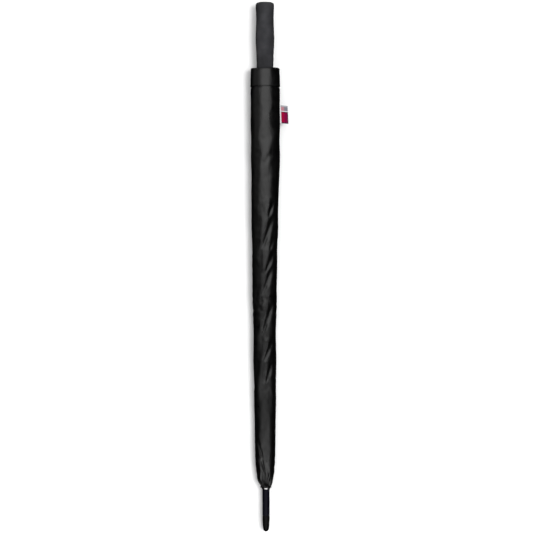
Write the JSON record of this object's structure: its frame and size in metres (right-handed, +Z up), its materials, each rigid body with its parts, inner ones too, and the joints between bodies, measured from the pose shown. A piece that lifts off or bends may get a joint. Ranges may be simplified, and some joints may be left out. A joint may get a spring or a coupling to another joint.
{
  "type": "golf umbrella",
  "caption": "Furled straight golf umbrella in a black slip-on storage sleeve, with a waisted foam grip and a rounded ferrule; the sleeve pulls off over the point.",
  "frame": {"origin": "on the surface the umbrella lies on, under the middle of its bounding box", "axes": "+Z up from that surface; +Y towards the handle end; +X towards the side seam with the label. The shaft leans 0.75 degrees up towards the handle, because the sleeve tapers."},
  "size_m": [0.072, 1.0062, 0.0559],
  "materials": {
    "sleeve_nylon": "satin woven nylon",
    "sleeve_binding": "matt binding tape",
    "canopy_fabric": "satin woven pongee",
    "foam_grip": "matt closed-cell foam",
    "black_plastic": "satin moulded plastic",
    "shaft_lacquer": "gloss black lacquer",
    "fibreglass": "black pultruded fibreglass",
    "steel": "zinc-plated steel",
    "woven_label": "damask-woven label"
  },
  "bodies": {
    "umbrella": {"shaft": "shaft_lacquer", "ferrule_cap": "black_plastic", "crown_notch": "black_plastic", "crown_wire": "steel", "crown_cap": "black_plastic", "canopy": "canopy_fabric", "tie_strap": "canopy_fabric", "runner": "black_plastic", "runner_wire": "steel", "handle_core": "black_plastic", "handle_grip": "foam_grip", "handle_end_cap": "foam_grip", "shaft_collar": "steel", "rib_1": "fibreglass", "rib_tip_1": "black_plastic", "stretcher_1": "steel", "joiner_1": "black_plastic", "rib_2": "fibreglass", "rib_tip_2": "black_plastic", "stretcher_2": "steel", "joiner_2": "black_plastic", "rib_3": "fibreglass", "rib_tip_3": "black_plastic", "stretcher_3": "steel", "joiner_3": "black_plastic", "rib_4": "fibreglass", "rib_tip_4": "black_plastic", "stretcher_4": "steel", "joiner_4": "black_plastic", "rib_5": "fibreglass", "rib_tip_5": "black_plastic", "stretcher_5": "steel", "joiner_5": "black_plastic", "rib_6": "fibreglass", "rib_tip_6": "black_plastic", "stretcher_6": "steel", "joiner_6": "black_plastic", "rib_7": "fibreglass", "rib_tip_7": "black_plastic", "stretcher_7": "steel", "joiner_7": "black_plastic", "rib_8": "fibreglass", "rib_tip_8": "black_plastic", "stretcher_8": "steel", "joiner_8": "black_plastic"},
    "sleeve": {"sleeve_wall_1": "sleeve_nylon", "sleeve_wall_2": "sleeve_nylon", "sleeve_wall_3": "sleeve_nylon", "sleeve_wall_4": "sleeve_nylon", "sleeve_wall_5": "sleeve_nylon", "sleeve_wall_6": "sleeve_nylon", "sleeve_wall_7": "sleeve_nylon", "sleeve_wall_8": "sleeve_nylon", "sleeve_toe": "sleeve_nylon", "sleeve_hem": "sleeve_nylon", "sleeve_end_binding": "sleeve_binding", "label_tag": "woven_label"},
    "runner_button": {"runner_button": "steel"},
    "open_catch": {"open_catch": "steel"}
  },
  "joints": [
    {"name": "sleeve_slide", "type": "slide", "parent": "umbrella", "child": "sleeve", "axis": [0, -1, 0], "range_m": [0, 0.9]},
    {"name": "runner_button_press", "type": "slide", "parent": "umbrella", "child": "runner_button", "axis": [0, 0.0131, -0.9999], "range_m": [0, 0.0015], "stiffness_N_per_m": 400},
    {"name": "open_catch_press", "type": "slide", "parent": "umbrella", "child": "open_catch", "axis": [0, 0.0131, -0.9999], "range_m": [0, 0.0022], "stiffness_N_per_m": 400}
  ]
}
